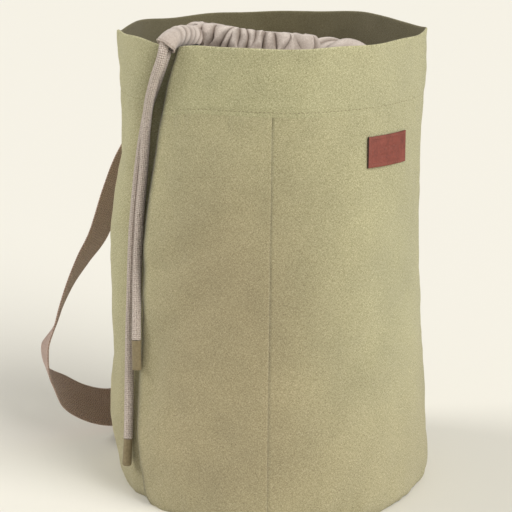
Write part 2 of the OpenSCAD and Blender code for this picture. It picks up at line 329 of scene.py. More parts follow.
def canvas_material(name, dark, mid, light):
    """Washed cotton canvas: slubby yarns, heather and soft wash marks."""
    m, t, shader = tree_of(name)
    uv = put(t, "TexCoord").outputs["UV"]
    place3 = put(t, "TexCoord").outputs["Object"]
    slub_u = noise(t, scaled(t, uv, (1, 4, 1)), 520.0, 3.0, 0.7)
    slub_v = noise(t, scaled(t, uv, (4, 1, 1)), 520.0, 3.0, 0.7)
    speck = noise(t, place3, 1150.0, 2.0, 0.8)
    heather = maths(t, "ADD", maths(t, "MULTIPLY", slub_u, 0.32),
                    maths(t, "MULTIPLY", slub_v, 0.32))
    heather = maths(t, "MULTIPLY_ADD", speck, 0.36, heather)
    yarn = ramp(t, heather, [(0.40, dark), (0.50, mid), (0.60, light)])
    wash = noise(t, place3, 13.0, 4.0, 0.6)
    tone = ramp(t, wash, [(0.3, (0.86, 0.855, 0.84)), (0.72, (1.06, 1.05, 1.03))])
    colour = mix(t, "MULTIPLY", 1.0, yarn, tone)
    # painted shade over the front just left of centre, and darker, browner cloth
    # towards the base, from this mark
    colour = mix(t, "MULTIPLY", mark(t, "wear"), colour, (0.80, 0.72, 0.72))
    # painted shade, almost black, in and beside the pleat, where the depth mark is
    colour = mix(t, "MULTIPLY", mark(t, "depth"), colour, (0.028, 0.024, 0.018))
    t.links.new(colour, shader.inputs["Base Color"])
    shader.inputs["Roughness"].default_value = 0.93
    shader.inputs["Sheen Weight"].default_value = 0.18
    shader.inputs["Sheen Roughness"].default_value = 0.6
    shader.inputs["Specular IOR Level"].default_value = 0.2
    yarn_bump(t, uv, 0.0011, 0.55, shader)
    return m


def cotton_material(name, dark, light, strength=0.35):
    """Fine plain cotton for the lining and the collar."""
    m, t, shader = tree_of(name)
    uv = put(t, "TexCoord").outputs["UV"]
    place3 = put(t, "TexCoord").outputs["Object"]
    fine = noise(t, place3, 700.0, 2.0, 0.7)
    soft = noise(t, place3, 34.0, 3.0, 0.5)
    fac = maths(t, "MULTIPLY_ADD", fine, 0.55, maths(t, "MULTIPLY", soft, 0.45))
    colour = ramp(t, fac, [(0.38, dark), (0.62, light)])
    # painted shade in the collar's creases and over the channel end, deepest in its
    # wrinkles, where the depth mark is
    colour = mix(t, "MULTIPLY", mark(t, "depth"), colour, (0.26, 0.21, 0.17))
    t.links.new(colour, shader.inputs["Base Color"])
    shader.inputs["Roughness"].default_value = 0.9
    shader.inputs["Sheen Weight"].default_value = 0.25
    shader.inputs["Specular IOR Level"].default_value = 0.2
    yarn_bump(t, uv, 0.0007, strength, shader)
    return m


def cord_material():
    """Braided cotton cord: two crossing sets of diagonal strands."""
    m, t, shader = tree_of("cord_cotton")
    uv = put(t, "TexCoord").outputs["UV"]
    place3 = put(t, "TexCoord").outputs["Object"]
    xyz = put(t, "SeparateXYZ", {0: uv})
    turns, along = 8 * 2 * math.pi, 2 * math.pi / 0.0034
    u = maths(t, "MULTIPLY", xyz.outputs[0], turns)
    one = maths(t, "SINE", maths(t, "MULTIPLY_ADD", xyz.outputs[1], along, u))
    two = maths(t, "SINE", maths(t, "MULTIPLY_ADD", xyz.outputs[1], -along, u))
    braid = maths(t, "MULTIPLY", one, two)
    fine = noise(t, place3, 900.0, 2.0, 0.7)
    fac = maths(t, "MULTIPLY_ADD", braid, 0.2, fine)
    colour = ramp(t, fac, [(0.28, (0.34, 0.27, 0.22)), (0.5, (0.60, 0.50, 0.44)),
                           (0.75, (0.74, 0.66, 0.58))])
    t.links.new(colour, shader.inputs["Base Color"])
    shader.inputs["Roughness"].default_value = 0.9
    shader.inputs["Sheen Weight"].default_value = 0.25
    b = put(t, "Bump", {"Height": maths(t, "MULTIPLY_ADD", fine, 0.5, braid)})
    b.inputs["Strength"].default_value = 0.8
    b.inputs["Distance"].default_value = 0.0008
    t.links.new(b.outputs[0], shader.inputs["Normal"])
    return m


def tip_material():
    m, t, shader = tree_of("tip_cloth")
    place3 = put(t, "TexCoord").outputs["Object"]
    fine = noise(t, place3, 500.0, 3.0, 0.7)
    colour = ramp(t, fine, [(0.3, (0.165, 0.125, 0.062)), (0.7, (0.25, 0.20, 0.11))])
    t.links.new(colour, shader.inputs["Base Color"])
    shader.inputs["Roughness"].default_value = 0.72
    shader.inputs["Sheen Weight"].default_value = 0.1
    b = put(t, "Bump", {"Height": fine, "Strength": 0.35})
    b.inputs["Distance"].default_value = 0.0006
    t.links.new(b.outputs[0], shader.inputs["Normal"])
    return m


def webbing_material(name, dark, mid, light):
    """Ribbed twill webbing: fine lengthwise ribs crossed by a twill."""
    m, t, shader = tree_of(name)
    uv = put(t, "TexCoord").outputs["UV"]
    place3 = put(t, "TexCoord").outputs["Object"]
    xyz = put(t, "SeparateXYZ", {0: uv})
    rib_k, pick_k = 2 * math.pi / 0.0019, 2 * math.pi / 0.0024
    rib = maths(t, "SINE", maths(t, "MULTIPLY", xyz.outputs[0], rib_k))
    zig = maths(t, "PINGPONG", xyz.outputs[0], 0.0019)
    lean = maths(t, "MULTIPLY_ADD", zig, 0.9, xyz.outputs[1])
    pick = maths(t, "SINE", maths(t, "MULTIPLY", lean, pick_k))
    weave = maths(t, "MULTIPLY_ADD", rib, 0.5, pick)
    fine = noise(t, place3, 800.0, 2.0, 0.7)
    fac = maths(t, "MULTIPLY_ADD", weave, 0.13, fine)
    colour = ramp(t, fac, [(0.25, dark), (0.5, mid), (0.75, light)])
    t.links.new(colour, shader.inputs["Base Color"])
    shader.inputs["Roughness"].default_value = 0.88
    shader.inputs["Sheen Weight"].default_value = 0.3
    b = put(t, "Bump", {"Height": maths(t, "MULTIPLY_ADD", fine, 0.7, weave)})
    b.inputs["Strength"].default_value = 0.7
    b.inputs["Distance"].default_value = 0.0006
    t.links.new(b.outputs[0], shader.inputs["Normal"])
    return m


def leather_material():
    m, t, shader = tree_of("label_leather")
    place3 = put(t, "TexCoord").outputs["Object"]
    grain = put(t, "TexVoronoi", {"Vector": place3, "Scale": 900.0})
    soft = noise(t, place3, 90.0, 4.0, 0.6)
    fine = noise(t, place3, 500.0, 3.0, 0.6)
    fac = maths(t, "MULTIPLY_ADD", fine, 0.4, maths(t, "MULTIPLY", soft, 0.6))
    colour = ramp(t, fac, [(0.3, (0.13, 0.029, 0.018)), (0.52, (0.215, 0.048, 0.031)),
                           (0.75, (0.28, 0.074, 0.05))])
    t.links.new(colour, shader.inputs["Base Color"])
    shader.inputs["Roughness"].default_value = 0.58
    b = put(t, "Bump", {"Height": grain.outputs["Distance"], "Strength": 0.3})
    b.inputs["Distance"].default_value = 0.0004
    t.links.new(b.outputs[0], shader.inputs["Normal"])
    return m


def plain_material(name, dark, light, scale, rough):
    m, t, shader = tree_of(name)
    fac = noise(t, put(t, "TexCoord").outputs["Object"], scale, 3.0, 0.6)
    t.links.new(ramp(t, fac, [(0.3, dark), (0.7, light)]),
                shader.inputs["Base Color"])
    shader.inputs["Roughness"].default_value = rough
    return m


CANVAS = canvas_material("canvas", (0.29, 0.265, 0.14), (0.50, 0.475, 0.275),
                         (0.73, 0.705, 0.46))
INNER = canvas_material("canvas_inner", (0.115, 0.100, 0.050), (0.165, 0.145, 0.078),
                        (0.225, 0.20, 0.115))
COTTON = cotton_material("collar_cotton", (0.54, 0.455, 0.40), (0.72, 0.635, 0.57))
CORD = cord_material()
TIP = tip_material()
WEB = webbing_material("webbing", (0.24, 0.15, 0.115), (0.46, 0.31, 0.245),
                       (0.64, 0.48, 0.40))
LEATHER = leather_material()
EDGE = plain_material("leather_edge", (0.03, 0.014, 0.009), (0.06, 0.027, 0.018),
                      700.0, 0.7)
THREAD = plain_material("thread", (0.25, 0.215, 0.12), (0.36, 0.32, 0.19), 900.0, 0.8)
LABEL_THREAD = plain_material("label_thread", (0.17, 0.055, 0.04),
                              (0.26, 0.09, 0.065), 900.0, 0.6)
BOARD = plain_material("board", (0.30, 0.21, 0.12), (0.42, 0.31, 0.19), 300.0, 0.85)


# ---------------------------------------------------------------- meshes
def make_piece(name, verts, faces, uvs, material, slots=None):
    """A mesh in metres from points in millimetres, with its UVs in metres."""
    mesh = bpy.data.meshes.new(name)
    mesh.from_pydata((np.asarray(verts) * MM).tolist(), [], faces)
    layer = mesh.uv_layers.new(name="cloth")
    index = np.zeros(len(mesh.loops), np.int64)
    mesh.loops.foreach_get("vertex_index", index)
    layer.data.foreach_set("uv", (np.asarray(uvs) * MM)[index].ravel())
    for m in material if isinstance(material, list) else [material]:
        mesh.materials.append(m)
    if slots is not None:
        mesh.polygons.foreach_set("material_index", slots)
    mesh.shade_smooth()
    mesh.validate()
    obj = bpy.data.objects.new(name, mesh)
    bpy.context.scene.collection.objects.link(obj)
    return obj


def grid_normals(p, closed):
    if closed:
        du = np.roll(p, -1, 1) - np.roll(p, 1, 1)
    else:
        du = np.gradient(p, axis=1)
    n = np.cross(du, np.gradient(p, axis=0))
    return n / np.maximum(np.linalg.norm(n, axis=-1, keepdims=True), 1e-9)


def grid_uv(p):
    step = np.linalg.norm(np.diff(p, axis=1), axis=-1).mean(0)
    u = np.concatenate([[0], np.cumsum(step)])
    rise = np.linalg.norm(np.diff(p, axis=0), axis=-1).mean(1)
    v = np.concatenate([[0], np.cumsum(rise)])
    return np.stack(np.meshgrid(u, v), -1)


ROUND = 3


def carry(piece, rows, marks):
    """Keeps a grid's values at the points of the shell made from it."""
    order = [*range(rows), *[rows - 1] * ROUND, *range(rows - 1, -1, -1),
             *[0] * ROUND]
    for name, values in marks.items():
        layer = piece.data.attributes.new(name, "FLOAT", "POINT")
        layer.data.foreach_set("value", np.asarray(values, float)[order].ravel())


def shell(name, mid, t, material, closed=False, inner=None, **marks):
    """Cloth of thickness t round a grid of middle points, rounded at its
    top and bottom edges. Rows go up and columns go round to the right."""
    rows, cols, _ = mid.shape
    n = grid_normals(mid, closed)
    uv = grid_uv(mid)
    out, back = mid + n * t / 2, mid - n * t / 2
    up = mid[-1] - mid[-2]
    down = mid[0] - mid[1]
    layers, layer_uv = [*out], [*uv]
    for edge, way, i, sign in ((mid[-1], up, -1, 1), (mid[0], down, 0, -1)):
        way = way / np.linalg.norm(way, axis=-1, keepdims=True)
        for k in range(1, ROUND + 1):
            ang = math.pi * k / (ROUND + 1)
            side = n[i] * math.cos(ang) * sign + way * math.sin(ang)
            layers.append(edge + side * t / 2)
            layer_uv.append(uv[i])
        if sign > 0:
            layers += [*back[::-1]]
            layer_uv += [*uv[::-1]]
    total = len(layers)
    verts = np.array(layers).reshape(-1, 3)
    uvs = np.array(layer_uv).reshape(-1, 2)
    faces, slots = [], []
    span = cols if closed else cols - 1
    inner_from, inner_to = rows + 1, 2 * rows + ROUND - 1
    for r in range(total):
        s = (r + 1) % total
        for j in range(span):
            k = (j + 1) % cols
            faces.append((r * cols + j, r * cols + k, s * cols + k, s * cols + j))
        slots += [1 if inner_from <= r < inner_to else 0] * span
    if not closed:
        ring = [r * cols for r in range(total)]
        top = list(range(rows - 1, rows + ROUND + 1))
        bottom = [*range(2 * rows + ROUND - 1, total), 0]
        for j, flip in ((0, False), (cols - 1, True)):
            strips = [[2 * rows + ROUND - 1 - i, i, i + 1, 2 * rows + ROUND - 2 - i]
                      for i in range(rows - 1)]
            for loop in [*strips, top, bottom]:
                f = [ring[q] + j for q in loop]
                faces.append(tuple(f[::-1] if flip else f))
                slots.append(0)
    if inner is None:
        piece = make_piece(name, verts, faces, uvs, material)
    else:
        piece = make_piece(name, verts, faces, uvs, [material, inner], slots)
    carry(piece, rows, marks)
    for face in piece.data.polygons[total * span:]:
        face.use_smooth = False
    return piece


def tube(name, line, radius, sides, material, squash=1.0, ends=True, ref=None,
         spin_uv=1.0):
    """A round or oval bar along a line of points. radius may vary along it.
    Its u runs once round and its v is the length in metres."""
    line = np.asarray(line, float)
    radius = np.broadcast_to(np.asarray(radius, float), len(line))
    t = np.gradient(line, axis=0)
    t /= np.linalg.norm(t, axis=1, keepdims=True)
    u = np.cross(ref if ref is not None else (1.0, 0.0, 0.0), t)
    u /= np.linalg.norm(u, axis=1, keepdims=True)
    v = np.cross(t, u)
    a = np.linspace(0, 2 * math.pi, sides + 1)
    length = np.concatenate([[0], np.cumsum(np.linalg.norm(np.diff(line, axis=0),
                                                          axis=1))])
    ca, sa = np.cos(a)[None, :, None], np.sin(a)[None, :, None]
    rings = line[:, None] + radius[:, None, None] * (
        u[:, None] * ca + squash * v[:, None] * sa)
    ring_uv = np.stack(np.broadcast_arrays(
        (a / (2 * math.pi) * spin_uv / MM)[None, :], length[:, None]), -1)
    n, m = len(line), sides
    verts = rings[:, :-1].reshape(-1, 3)
    mesh = bpy.data.meshes.new(name)
    faces = [(i * m + j, i * m + (j + 1) % m, (i + 1) * m + (j + 1) % m,
              (i + 1) * m + j) for i in range(n - 1) for j in range(m)]
    loop_uv = [ring_uv[i + di, j + dj] for i in range(n - 1) for j in range(m)
               for di, dj in ((0, 0), (0, 1), (1, 1), (1, 0))]
    if ends:
        faces += [tuple(range(m))[::-1], tuple(range((n - 1) * m, n * m))]
        loop_uv += [ring_uv[0, j] for j in range(m)][::-1]
        loop_uv += [ring_uv[-1, j] for j in range(m)]
    mesh.from_pydata((verts * MM).tolist(), [], faces)
    layer = mesh.uv_layers.new(name="cloth")
    layer.data.foreach_set("uv", (np.array(loop_uv) * MM).ravel())
    mesh.materials.append(material)
    mesh.shade_smooth()
    obj = bpy.data.objects.new(name, mesh)
    bpy.context.scene.collection.objects.link(obj)
    return obj


def spline(points, n):
    """Points on a smooth line through the route's points, n per stretch."""
    p = np.asarray(points, float)
    pad = np.concatenate([p[:1], p, p[-1:]])
    out = []
    for i in range(len(p) - 1):
        a, b, c, d = pad[i : i + 4]
        for k in range(n):
            t = k / n
            out.append(0.5 * (2 * b + (c - a) * t + (2 * a - 5 * b + 4 * c - d) * t**2
                              + (3 * b - a - 3 * c + d) * t**3))
    return np.array([*out, p[-1]])


# ----------------------------------------------------- the drawcord's ends
ROUTE_A = [
    (-0.0903, -0.0912, 0.4137), (-0.0912, -0.0932, 0.4094), (-0.0922, -0.0949, 0.4042),
    (-0.0937, -0.0951, 0.3982), (-0.0961, -0.0934, 0.3910), (-0.0989, -0.0900, 0.3826),
    (-0.1017, -0.0860, 0.3720), (-0.1042, -0.0815, 0.3615), (-0.1062, -0.0765, 0.3488),
    (-0.1078, -0.0725, 0.3336), (-0.1088, -0.0695, 0.3168), (-0.1102, -0.0680, 0.2988),
    (-0.1119, -0.0675, 0.2791), (-0.1136, -0.0675, 0.2593), (-0.1146, -0.0675, 0.2413),
    (-0.1155, -0.0685, 0.2243), (-0.1161, -0.0715, 0.2051), (-0.1161, -0.0770, 0.1866),
    (-0.1161, -0.0835, 0.1693), (-0.1160, -0.0885, 0.1498),
]
ROUTE_B = [
    (-0.0888, -0.0860, 0.4054), (-0.0899, -0.0869, 0.4011), (-0.0916, -0.0861, 0.3958),
    (-0.0941, -0.0822, 0.3880), (-0.0974, -0.0765, 0.3782), (-0.1013, -0.0695, 0.3668),
    (-0.1055, -0.0635, 0.3536), (-0.1093, -0.0605, 0.3353), (-0.1127, -0.0590, 0.3145),
    (-0.1157, -0.0585, 0.2906), (-0.1181, -0.0585, 0.2670), (-0.1200, -0.0590, 0.2445),
    (-0.1211, -0.0600, 0.2229), (-0.1217, -0.0615, 0.2031), (-0.1222, -0.0640, 0.1817),
    (-0.1231, -0.0660, 0.1536), (-0.1234, -0.0700, 0.1268), (-0.1236, -0.0745, 0.0983),
    (-0.1238, -0.0780, 0.0759), (-0.1242, -0.0805, 0.0549),
]
END_A = (-0.1153, -0.0915, 0.1235)
END_B = (-0.1257, -0.0810, 0.0297)


def make_cord(name, route, tip_end, body):
    line = spline(np.array(route) / MM, 10)
    cord = tube(name + "_braid", line, CORD_D / 2, 28, CORD)
    a, b = line[-1], np.array(tip_end) / MM
    s = np.array([0, 0.004, 0.02, 0.05, 0.1, 0.2, 0.35, 0.5, 0.65, 0.8, 0.9, 0.95,
                  0.985, 1.0])
    grow = TIP_D / 2 * np.array([0.9, 0.97, 1, 1.01, 1, 0.99, 0.985, 0.98, 0.985,
                                 1.0, 1.02, 1.02, 0.99, 0.93])
    wrap = tube(name + "_wrap", a + (b - a) * s[:, None], grow, 28, TIP)
    for piece, node in ((cord, name), (wrap, name + "_tip")):
        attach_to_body(piece, body)
        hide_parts(node)
    return cord


make_cord("cord_a", ROUTE_A, END_A, "cord_a")
make_cord("cord_b", ROUTE_B, END_B, "cord_b")


# ------------------------------------------------------------ the canvas
def height_rows(low, high, step):
    return np.linspace(low, high, max(3, int((high - low) * SACK_H / step)))


def pushed(p, a, f, extra=0.0, closed=False):
    """Points moved out along the wall by the cloth's folds."""
    n = grid_normals(p, closed)
    return p + n * (creases(a, f, p) + extra)[..., None]


def seam_dip(a, at):
    """The cloth turns in at a seam, with a small rise beside it."""
    d = np.abs(turn(a - at)) * 2.45
    return -0.12 * np.exp(-((d / 0.9) ** 2)) + 0.13 * np.exp(-(((d - 4) / 2.6) ** 2))


PANEL_IN = CANVAS_IN + CANVAS_T / 2
PANEL_TOP = HEM_F + 1.6 / SACK_H


def soften(p, times):
    """Rounds a grid's corners along its rows; the two ends stay."""
    for _ in range(times):
        p = p.copy()
        p[:, 1:-1] = (p[:, :-2] + 2 * p[:, 1:-1] + p[:, 2:]) / 4
    return p


def pleat_face(f, inset):
    """The pleat's hidden wall, from its floor out to the edge."""
    s = np.linspace(1, 0, 10)[None, :-1]
    depth = pleat_depth(f) * s
    return wall(pleat_deg(f) + 0.02 + 0 * s, f + 0 * s, inset + depth)


def wear(a, f):
    """Painted shade over the front just left of centre at mid height, and darker,
    browner cloth towards the base.
    """
    z = f * SACK_H
    return 1.05 * bump(turn(a + 16), 40) * bump(z - 185, 170) + 0.5 * bump(z - 30, 95)


# How strong the painted shade in the pleat is: weaker low down, where the pleat
# closes.
def pleat_shade_strength(f):
    return 0.6 + 0.4 * smooth((f - 0.3) / 0.35)


def pleat_floor_shade(a, f):
    """Painted shade where the cloth goes in under the fold."""
    wide = 2.2 + 5.3 * smooth((f - 0.3) / 0.35)
    return pleat_shade_strength(f) * bump(np.clip(turn(pleat_deg(f) - a), 0, 180), wide)


# Painted shade across the pleat's hidden side wall, darkest at its floor.
def pleat_side_shade(f):
    return pleat_shade_strength(f) * np.linspace(1, 0.8, 10)[None, :-1]


def front_left():
    f = height_rows(0.002, PANEL_TOP, 2.5)[:, None]
    s = np.linspace(0, 1, 60)[None]
    a = pleat_deg(f) + 0.02 + (-0.005 - pleat_deg(f)) * s
    face = wall(a, f, PANEL_IN)
    # the fold edge stands a little over the pleat
    lip = bump(turn(a - pleat_deg(f)), 5) * 1.6
    face = pushed(face, a, f + 0 * a, seam_dip(a, 0) + lip)
    side = pleat_face(f, PANEL_IN)
    grid = soften(np.concatenate([side, face], 1), 1)
    f = f + 0 * a
    # painted shade in a thin line along the fold edge and over the pleat's side wall
    edge = pleat_shade_strength(f) * bump(turn(a - pleat_deg(f)), 1.4)
    dark = np.concatenate([pleat_side_shade(f[:, :1]), edge], 1)
    # painted shade and a darker, browner base on the face; none on the pleat's side
    # wall
    shade_and_browning_marks = np.concatenate([0 * dark[:, :9], wear(a, f)], 1)
    return shell("front_left_canvas", grid, CANVAS_T, CANVAS, depth=dark, wear=shade_and_browning_marks)


def plain_panel(name, start, end, cols, seams):
    f = height_rows(0.002, PANEL_TOP, 2.5)[:, None]
    a = np.linspace(start, end, cols)[None] + 0 * f
    dips = sum(seam_dip(a, s) for s in seams)
    grid = pushed(wall(a, f, PANEL_IN), a, f + 0 * a, dips)
    # marked with the painted shade on the front left of centre and the darker, browner
    # base
    return shell(name, grid, CANVAS_T, CANVAS, wear=wear(a, f + 0 * a))


def back_left():
    f = height_rows(0.002, PANEL_TOP, 2.5)[:, None]
    s = np.linspace(0, 1, 120)[None]
    a = 180.05 + (359.0 + pleat_deg(f) - 180.05) * s
    calm = 1 - 0.8 * bump(turn(pleat_deg(f) - a), 10)
    p = wall(a, f, PANEL_IN)
    push = creases(a, f + 0 * a, p) * calm + seam_dip(a, 180)
    grid = p + grid_normals(p, False) * push[..., None]
    # painted shade where the cloth runs in under the fold, plus the canvas's painted
    # shade and darker, browner base
    return shell("back_left_canvas", grid, CANVAS_T, CANVAS,
                 depth=pleat_floor_shade(a, f + 0 * a), wear=wear(a, f + 0 * a))


def hem_swell(above):
    """The band lies flat at the join and is drawn in under its stitches."""
    return 0.35 * smooth(above / 9) - 0.4 * bump(above - 5, 1.8)


def band():
    f = height_rows(HEM_F + 1.3 / SACK_H, 1.0, 1.6)[:, None]
    s = np.linspace(0, 1, 330)[None]
    a = pleat_deg(f) + 0.02 + 358.9 * s
    inset = BAND_T / 2
    face = wall(a, f, inset)
    calm = 1 - 0.8 * bump(turn(pleat_deg(f) - a), 8) * (turn(pleat_deg(f) - a) > 0)
    swell = hem_swell((f - HEM_F) * SACK_H)
    lip = bump(turn(a - pleat_deg(f)), 5) * 1.6 * (turn(a - pleat_deg(f)) >= 0)
    face = face + grid_normals(face, False) * (
        creases(a, f + 0 * a, face) * calm + swell + lip)[..., None]
    wave = 0.5 * ripple(23, np.stack([a * 2.3], -1), 110) * smooth((f - 0.9) / 0.1)
    face[..., 2] += wave * (1 - 0.7 * bump(turn(a - pleat_deg(f)), 12))
    face[..., 2] -= 5.5 * bump(turn(a + 96), 11) * smooth((f - 0.85) / 0.15)
    side = pleat_face(f, inset)
    grid = np.concatenate([side, face], 1)
    grid = (np.roll(grid, 1, 1) + 2 * grid + np.roll(grid, -1, 1)) / 4
    f = f + 0 * a
    # painted shade along the fold edge, under the fold behind it and on the pleat's
    # side wall
    edge = bump(turn(a - pleat_deg(f)), 1.2)
    dark = np.where(s > 0.5, pleat_floor_shade(a, f), edge)
    dark = np.concatenate([pleat_side_shade(f[:, :1]), dark], 1)
    return shell("top_band_canvas", grid, BAND_T, CANVAS, closed=True, inner=INNER,
                 depth=dark)


SACK = [
    (front_left(), "front_left_panel"),
    (plain_panel("front_right_canvas", 0.005, 89.95, 62, (0, 90)),
     "front_right_panel"),
    (plain_panel("back_right_canvas", 90.05, 179.95, 62, (90, 180)),
     "back_right_panel"),
    (back_left(), "back_left_panel"),
    (band(), "top_band"),
]
for piece, node in SACK:
    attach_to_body(piece, "bag")
    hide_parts(node)


# -------------------------------------------------------------- stitches
def stitches(name, points, normals, pitch, size, material, lift=0.15):
    """A row of separate thread stitches along a line on the cloth."""
    step = np.linalg.norm(np.diff(points, axis=0), axis=1)
    at = np.concatenate([[0], np.cumsum(step)])
    verts, faces, uvs = [], [], []
    ring = np.linspace(0, 2 * math.pi, 7)[:-1]
    profile = [(-0.5, 0.35, -0.5), (-0.36, 0.85, 0.0), (-0.12, 1, 0.3), (0.12, 1, 0.3),
               (0.36, 0.85, 0.0), (0.5, 0.35, -0.5)]
    for centre in np.arange(pitch / 2, at[-1], pitch):
        c = np.array([np.interp(centre, at, points[:, k]) for k in range(3)])
        d = np.array([np.interp(centre + 0.4, at, points[:, k]) for k in range(3)]) - c
        n = np.array([np.interp(centre, at, normals[:, k]) for k in range(3)])
        d, n = d / np.linalg.norm(d), n / np.linalg.norm(n)
        w = np.cross(n, d)
        base = len(verts)
        for s, k, h in profile:
            o = c + d * s * size[0] + n * (lift + h * size[1] / 2)
            for g in ring:
                verts.append(o + size[1] / 2 * k * (math.cos(g) * w + math.sin(g) * n))
                uvs.append((s, g))
        for i in range(len(profile) - 1):
            for j in range(6):
                a, b = base + i * 6 + j, base + i * 6 + (j + 1) % 6
                faces.append((a, a + 6, b + 6, b))
        faces.append(tuple(base + j for j in range(6)))
        faces.append(tuple(base + 30 + j for j in range(5, -1, -1)))
    return make_piece(name, verts, faces, uvs, material)


def hem_line(above):
    f = HEM_F + above / SACK_H
    a = np.linspace(pleat_deg(f) + 3, pleat_deg(f) + 352, 900)[None]
    fs = np.array([f - 0.002, f, f + 0.002])[:, None]
    p = wall(a, fs + 0 * a, 0.0)
    calm = 1 - 0.8 * bump(turn(pleat_deg(fs) - a), 8) * (turn(pleat_deg(fs) - a) > 0)
    swell = hem_swell((fs - HEM_F) * SACK_H)
    lip = bump(turn(a - pleat_deg(fs)), 5) * 1.6
    n = grid_normals(p, False)
    p = p + n * (creases(a, fs + 0 * a, p) * calm + swell + lip)[..., None]
    return p[1], n[1]


hem_points, hem_normals = hem_line(5.0)
hem = stitches("hem_stitches", hem_points, hem_normals, 3.6, (2.5, 0.75), THREAD,
               lift=-0.15)
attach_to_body(hem, "bag")


# ---------------------------------------------------------------- inside
def disc_piece(name, node, material, inset, z, t):
    """A cloth or board disc that follows the base's outline."""
    a = np.arange(0, 360, 3.0)
    x, y = plain_xy(a, np.full_like(a, 0.02))
    k = 1 - inset / np.hypot(x, y)
    rim = np.stack([x * k, y * k], -1)
    verts, faces, uvs = [], [], []
    shape = [(0.985, 0), (1, 0.3), (1, 0.7), (0.985, 1)]
    shares = np.linspace(0, 0.95, 20)[1:]
    levels = [*[(s, 0) for s in shares], *shape, *[(s, 1) for s in shares[::-1]]]
    for s, h in levels:
        for q in rim:
            wave = 0.25 * math.sin(q[0] * 0.11) * math.sin(q[1] * 0.09) * h * (1 - s)
            verts.append((q[0] * s, q[1] * s, z + t * h + wave))
            uvs.append((q[0] * s, q[1] * s))
    m, n = len(rim), len(levels)
    for i in range(n - 1):
        for j in range(m):
            k = (j + 1) % m
            faces.append((i * m + j, i * m + k, (i + 1) * m + k, (i + 1) * m + j))
    faces.append(tuple(range(m))[::-1])
    faces.append(tuple(range((n - 1) * m, n * m)))
    piece = make_piece(name, verts, faces, uvs, material)
    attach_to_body(piece, "bag")
    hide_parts(node)
    return piece


base_piece = disc_piece("base_canvas", "base_panel", CANVAS, 18, 0.0, 1.8)
board_piece = disc_piece("base_board_card", "base_board", BOARD, 19, 2.0, 2.5)
floor_piece = disc_piece("lining_floor", "lining_base", COTTON, 18, 4.8, 1.2)


def lining():
    f = height_rows(0.022, HEM_F, 5.0)[:, None]
    a = np.arange(0, 360, 2.0)[None] + 0 * f
    p = lining_at(a, f, LINING_IN + LINING_T / 2)
    n = grid_normals(p, True)
    loose = 0.7 * ripple(31, p, 60) + 0.5 * ripple(37, p, 26) - 0.9
    return shell("lining_cloth", p + n * loose[..., None], LINING_T, COTTON,
                 closed=True)


lining_piece = lining()
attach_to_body(lining_piece, "bag")
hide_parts("lining_wall")


# ------------------------------------------------------ gathered collar
RING_MID = np.array([-18.0, -12.0, 409.0])
RING_L, RING_W, RING_LEAN = 51.0, 26.0, 6.0
CASING_TOP = 7.0
# Creases between the collar's gathers, in degrees round the ring
CREASES = [10, 22, 32, 42, 60, 84, 112, 138, 158, 172, 187, 201, 215, 231, 244,
           252, 260, 266, 271, 284, 292, 304, 318, 346]


def ring_at(a):
    r = np.radians(a)
    lean = -RING_LEAN * np.cos(r) - 2.0 * bump(turn(a - 20), 40)
    lean = lean - 8 * bump(turn(a - 92), 52) - 4.5 * bump(turn(a - 180), 38)
    return np.stack([RING_MID[0] + RING_L * np.cos(r),
                     RING_MID[1] + RING_W * np.sin(r), RING_MID[2] + lean], -1)


def ring_out(a):
    r = np.radians(a)
    n = np.stack([RING_W * np.cos(r), RING_L * np.sin(r), 0 * r], -1)
    return n / np.linalg.norm(n, axis=-1, keepdims=True)


def gathers(a):
    """Height of the pleats, 0 in a crease and 1 on a pleat, and the pleat's
    own width as a share of a full one."""
    edges = np.array([*CREASES, CREASES[0] + 360.0])
    at = (a - edges[0]) % 360 + edges[0]
    i = np.clip(np.searchsorted(edges, at, side="right") - 1, 0, len(edges) - 2)
    wide = edges[i + 1] - edges[i]
    t = (at - edges[i]) / wide
    lean = 0.75 + 0.5 * ((i * 7) % 5) / 4
    h = np.sin(np.pi * t**lean) ** 0.42
    size = np.clip(wide / 11, 0.45, 1.0) * (0.8 + 0.4 * ((i * 5) % 7) / 6)
    return h, size


